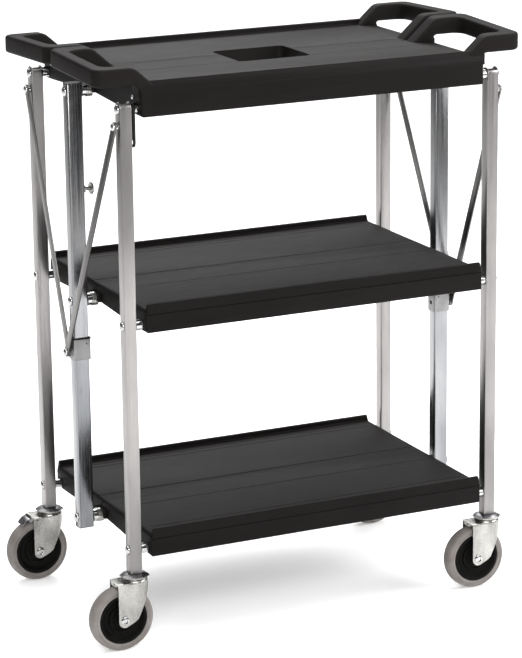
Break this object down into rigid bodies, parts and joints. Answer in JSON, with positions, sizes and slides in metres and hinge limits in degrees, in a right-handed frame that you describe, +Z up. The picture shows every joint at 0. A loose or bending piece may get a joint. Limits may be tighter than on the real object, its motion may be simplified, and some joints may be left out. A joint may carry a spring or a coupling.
{
  "type": "folding utility cart",
  "caption": "Folding shelf cart on swivel casters: split plastic decks on square metal legs, with braces that slide on centre posts and looped end handles.",
  "frame": {"origin": "on the floor, midway along the overall length and width of the open cart", "axes": "+X along the shelves towards the right end, +Y to the rear, +Z up"},
  "size_m": [0.7386, 0.402, 0.9035],
  "materials": {
    "shelf_plastic": "moulded, fine pebbled satin",
    "leg_aluminium": "mill finish with drawn lines",
    "post_aluminium": "polished, rounded corners",
    "collar_metal": "satin grey",
    "zinc_steel": "bright zinc plate",
    "rivet_steel": "bright plated",
    "tyre_rubber": "warm grey non-marking rubber",
    "hub_plastic": "black, ringed",
    "latch_plastic": "black"
  },
  "bodies": {
    "front_legs": {"leg_front_right": "leg_aluminium", "bottom_pin_front_right": "rivet_steel", "middle_pin_front_right": "rivet_steel", "top_pin_front_right": "rivet_steel", "caster_stem_front_right": "zinc_steel", "leg_front_left": "leg_aluminium", "bottom_pin_front_left": "rivet_steel", "middle_pin_front_left": "rivet_steel", "top_pin_front_left": "rivet_steel", "caster_stem_front_left": "zinc_steel"},
    "rear_legs": {"leg_rear_right": "leg_aluminium", "bottom_pin_rear_right": "rivet_steel", "middle_pin_rear_right": "rivet_steel", "top_pin_rear_right": "rivet_steel", "caster_stem_rear_right": "zinc_steel", "leg_rear_left": "leg_aluminium", "bottom_pin_rear_left": "rivet_steel", "middle_pin_rear_left": "rivet_steel", "top_pin_rear_left": "rivet_steel", "caster_stem_rear_left": "zinc_steel"},
    "centre_posts": {"centre_post_right": "post_aluminium", "bottom_pin_centre_right": "rivet_steel", "middle_pin_centre_right": "rivet_steel", "top_pin_centre_right": "rivet_steel", "centre_post_left": "post_aluminium", "bottom_pin_centre_left": "rivet_steel", "middle_pin_centre_left": "rivet_steel", "top_pin_centre_left": "rivet_steel", "latch_stud": "zinc_steel"},
    "collars": {"collar_right": "collar_metal", "collar_left": "collar_metal"},
    "front_braces": {"brace_front_right": "leg_aluminium", "brace_front_left": "leg_aluminium"},
    "rear_braces": {"brace_rear_right": "leg_aluminium", "brace_rear_left": "leg_aluminium"},
    "latch": {"latch": "latch_plastic"},
    "bottom_shelf_front": {"bottom_shelf_front": "shelf_plastic"},
    "bottom_shelf_rear": {"bottom_shelf_rear": "shelf_plastic"},
    "middle_shelf_front": {"middle_shelf_front": "shelf_plastic"},
    "middle_shelf_rear": {"middle_shelf_rear": "shelf_plastic"},
    "top_shelf_front": {"top_shelf_front": "shelf_plastic"},
    "top_shelf_rear": {"top_shelf_rear": "shelf_plastic"},
    "caster_front_right": {"caster_fork_front_right": "zinc_steel", "axle_front_right": "rivet_steel"},
    "wheel_front_right": {"tyre_front_right": "tyre_rubber", "wheel_hub_front_right": "hub_plastic"},
    "caster_rear_right": {"caster_fork_rear_right": "zinc_steel", "axle_rear_right": "rivet_steel"},
    "wheel_rear_right": {"tyre_rear_right": "tyre_rubber", "wheel_hub_rear_right": "hub_plastic"},
    "brake_rear_right": {"brake_pedal_rear_right": "zinc_steel"},
    "caster_front_left": {"caster_fork_front_left": "zinc_steel", "axle_front_left": "rivet_steel"},
    "wheel_front_left": {"tyre_front_left": "tyre_rubber", "wheel_hub_front_left": "hub_plastic"},
    "caster_rear_left": {"caster_fork_rear_left": "zinc_steel", "axle_rear_left": "rivet_steel"},
    "wheel_rear_left": {"tyre_rear_left": "tyre_rubber", "wheel_hub_rear_left": "hub_plastic"},
    "brake_rear_left": {"brake_pedal_rear_left": "zinc_steel"}
  },
  "joints": [
    {"name": "fold", "type": "hinge", "parent": "front_legs", "child": "top_shelf_front", "pos_m": [0, -0.178, 0.835], "axis": [1, 0, 0], "range_deg": [0, 75]},
    {"name": "middle_front_hinge", "type": "hinge", "parent": "front_legs", "child": "middle_shelf_front", "pos_m": [0, -0.178, 0.508], "axis": [1, 0, 0], "range_deg": [0, 75]},
    {"name": "bottom_front_hinge", "type": "hinge", "parent": "front_legs", "child": "bottom_shelf_front", "pos_m": [0, -0.178, 0.157], "axis": [1, 0, 0], "range_deg": [0, 75]},
    {"name": "centre_posts_hinge", "type": "hinge", "parent": "top_shelf_front", "child": "centre_posts", "pos_m": [0, 0, 0.835], "axis": [1, 0, 0], "range_deg": [-75, 0]},
    {"name": "bottom_rear_hinge", "type": "hinge", "parent": "centre_posts", "child": "bottom_shelf_rear", "pos_m": [0, 0, 0.157], "axis": [1, 0, 0], "range_deg": [-75, 0]},
    {"name": "middle_rear_hinge", "type": "hinge", "parent": "centre_posts", "child": "middle_shelf_rear", "pos_m": [0, 0, 0.508], "axis": [1, 0, 0], "range_deg": [-75, 0]},
    {"name": "top_rear_hinge", "type": "hinge", "parent": "centre_posts", "child": "top_shelf_rear", "pos_m": [0, 0, 0.835], "axis": [1, 0, 0], "range_deg": [-75, 0]},
    {"name": "rear_legs_hinge", "type": "hinge", "parent": "top_shelf_rear", "child": "rear_legs", "pos_m": [0, 0.178, 0.835], "axis": [1, 0, 0], "range_deg": [0, 75]},
    {"name": "front_braces_hinge", "type": "hinge", "parent": "front_legs", "child": "front_braces", "pos_m": [0, -0.178, 0.81], "axis": [1, 0, 0], "range_deg": [-18.71, 0]},
    {"name": "rear_braces_hinge", "type": "hinge", "parent": "rear_legs", "child": "rear_braces", "pos_m": [0, 0.178, 0.81], "axis": [1, 0, 0], "range_deg": [0, 18.71]},
    {"name": "collars_slide", "type": "slide", "parent": "centre_posts", "child": "collars", "axis": [0, 0, 1], "range_m": [-0.2089, 0]},
    {"name": "latch_hinge", "type": "hinge", "parent": "front_legs", "child": "latch", "pos_m": [-0.2805, -0.178, 0.835], "axis": [1, 0, 0], "range_deg": [0, 112]},
    {"name": "swivel_front_right", "type": "hinge", "parent": "front_legs", "child": "caster_front_right", "pos_m": [0.3205, -0.178, 0.117], "axis": [0, 0, 1], "continuous": true},
    {"name": "wheel_front_right", "type": "hinge", "parent": "caster_front_right", "child": "wheel_front_right", "pos_m": [0.2965, -0.178, 0.0508], "axis": [0, 1, 0], "continuous": true},
    {"name": "swivel_rear_right", "type": "hinge", "parent": "rear_legs", "child": "caster_rear_right", "pos_m": [0.3205, 0.178, 0.117], "axis": [0, 0, 1], "continuous": true},
    {"name": "wheel_rear_right", "type": "hinge", "parent": "caster_rear_right", "child": "wheel_rear_right", "pos_m": [0.2965, 0.178, 0.0508], "axis": [0, 1, 0], "continuous": true},
    {"name": "brake_rear_right", "type": "hinge", "parent": "caster_rear_right", "child": "brake_rear_right", "pos_m": [0.2823, 0.178, 0.1044], "axis": [0, 1, 0], "range_deg": [0, 25]},
    {"name": "swivel_front_left", "type": "hinge", "parent": "front_legs", "child": "caster_front_left", "pos_m": [-0.2945, -0.178, 0.117], "axis": [0, 0, 1], "continuous": true},
    {"name": "wheel_front_left", "type": "hinge", "parent": "caster_front_left", "child": "wheel_front_left", "pos_m": [-0.3185, -0.178, 0.0508], "axis": [0, 1, 0], "continuous": true},
    {"name": "swivel_rear_left", "type": "hinge", "parent": "rear_legs", "child": "caster_rear_left", "pos_m": [-0.2945, 0.178, 0.117], "axis": [0, 0, 1], "continuous": true},
    {"name": "wheel_rear_left", "type": "hinge", "parent": "caster_rear_left", "child": "wheel_rear_left", "pos_m": [-0.3185, 0.178, 0.0508], "axis": [0, 1, 0], "continuous": true},
    {"name": "brake_rear_left", "type": "hinge", "parent": "caster_rear_left", "child": "brake_rear_left", "pos_m": [-0.3327, 0.178, 0.1044], "axis": [0, 1, 0], "range_deg": [0, 25]}
  ],
  "couplings": [
    {"joint": "middle_front_hinge", "follows": "fold", "ratio": 1},
    {"joint": "bottom_front_hinge", "follows": "fold", "ratio": 1},
    {"joint": "centre_posts_hinge", "follows": "fold", "ratio": -1},
    {"joint": "bottom_rear_hinge", "follows": "fold", "ratio": -1},
    {"joint": "middle_rear_hinge", "follows": "fold", "ratio": -1},
    {"joint": "top_rear_hinge", "follows": "fold", "ratio": -1},
    {"joint": "rear_legs_hinge", "follows": "fold", "ratio": 1},
    {"joint": "front_braces_hinge", "follows": "fold", "ratio": -0.24944},
    {"joint": "rear_braces_hinge", "follows": "fold", "ratio": 0.24944},
    {"joint": "collars_slide", "follows": "fold", "m_per_rad": -0.15955}
  ]
}
